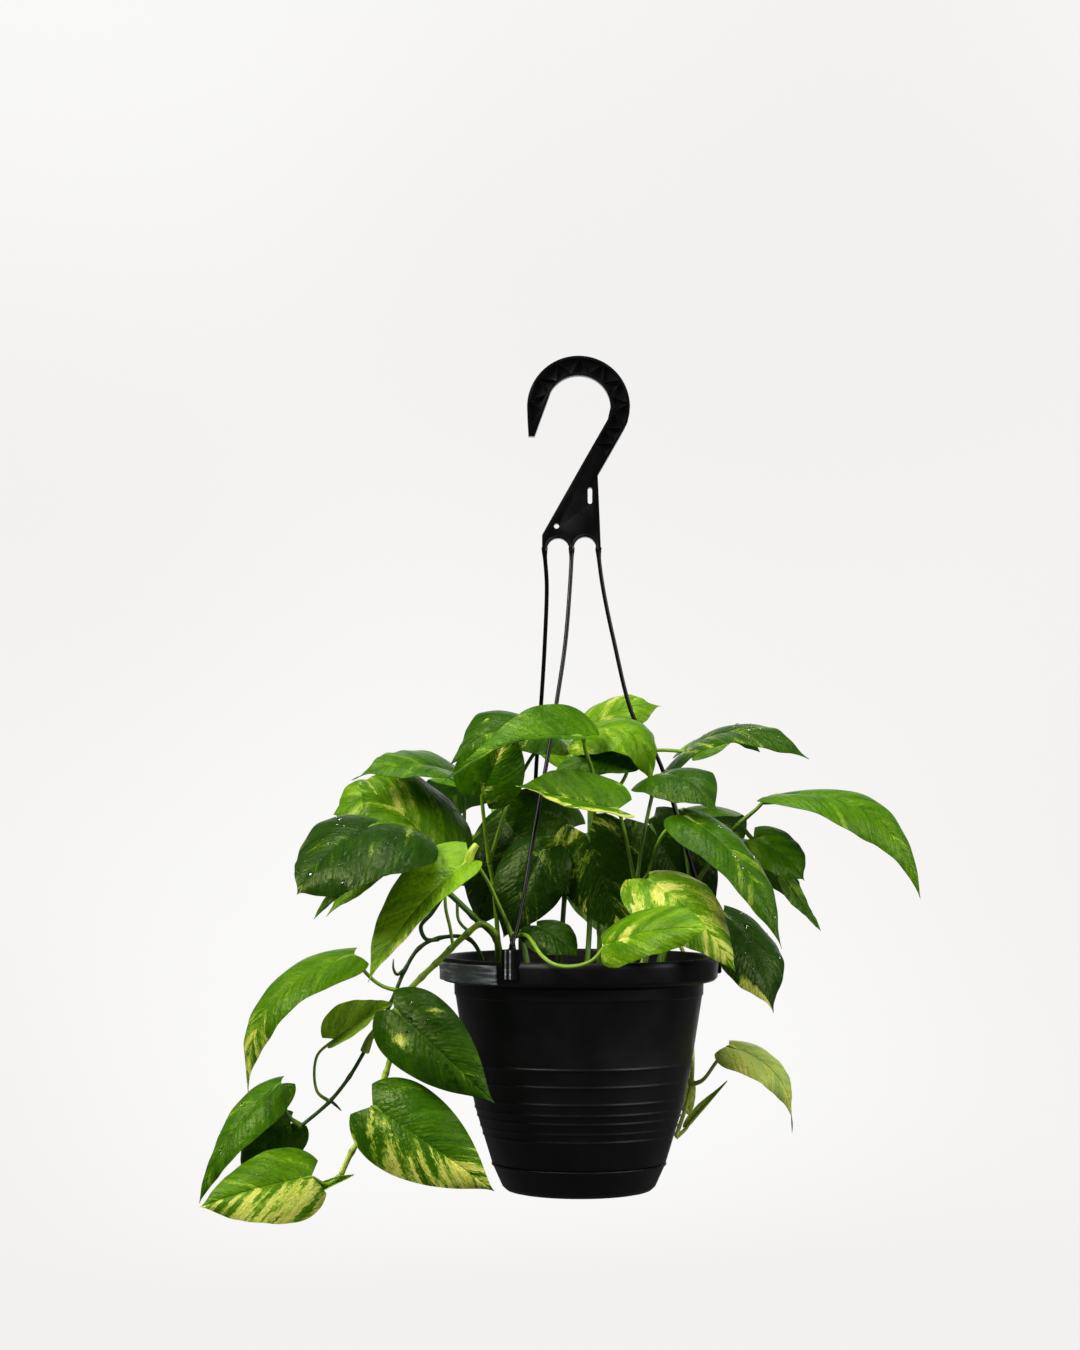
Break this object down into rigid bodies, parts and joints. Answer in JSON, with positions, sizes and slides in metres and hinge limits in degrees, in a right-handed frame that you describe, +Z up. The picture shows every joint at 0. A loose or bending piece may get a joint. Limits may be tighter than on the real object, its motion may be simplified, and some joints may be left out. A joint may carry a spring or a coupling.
{
  "type": "potted hawaiian pothos",
  "caption": "Trailing house plant with heart-shaped variegated leaves in a black plastic hanging basket on a moulded hook.",
  "frame": {"origin": "top of the hook's mouth, midway through the hook's thickness, where the basket hangs", "axes": "+Z up, +X to the right seen from the front, -Y towards the front, where the foliage is fullest"},
  "size_m": [0.5055, 0.3449, 0.608],
  "materials": {
    "pot": "satin black, moulded",
    "hanger": "satin black, moulded",
    "soil": "damp peat and bark",
    "leaf": "glossy living leaf, green marbled with yellow"
  },
  "bodies": {
    "root": {"pot": "pot", "saucer": "pot", "soil": "soil", "hanger_hook": "hanger", "hanger_strand_back": "hanger", "hanger_strand_front": "hanger", "hanger_strand_right": "hanger", "vine_trailing_left": "leaf", "vine_trailing_left_thin": "leaf", "vine_trailing_right": "leaf", "vine_trailing_back": "leaf", "stem_front": "leaf", "stem_left": "leaf", "stem_upper_left": "leaf", "stem_centre": "leaf", "stem_centre_right": "leaf", "stem_right_front": "leaf", "stem_right": "leaf", "stem_inner": "leaf", "stem_back_left": "leaf", "stem_back": "leaf", "stem_back_right": "leaf"}
  },
  "joints": []
}
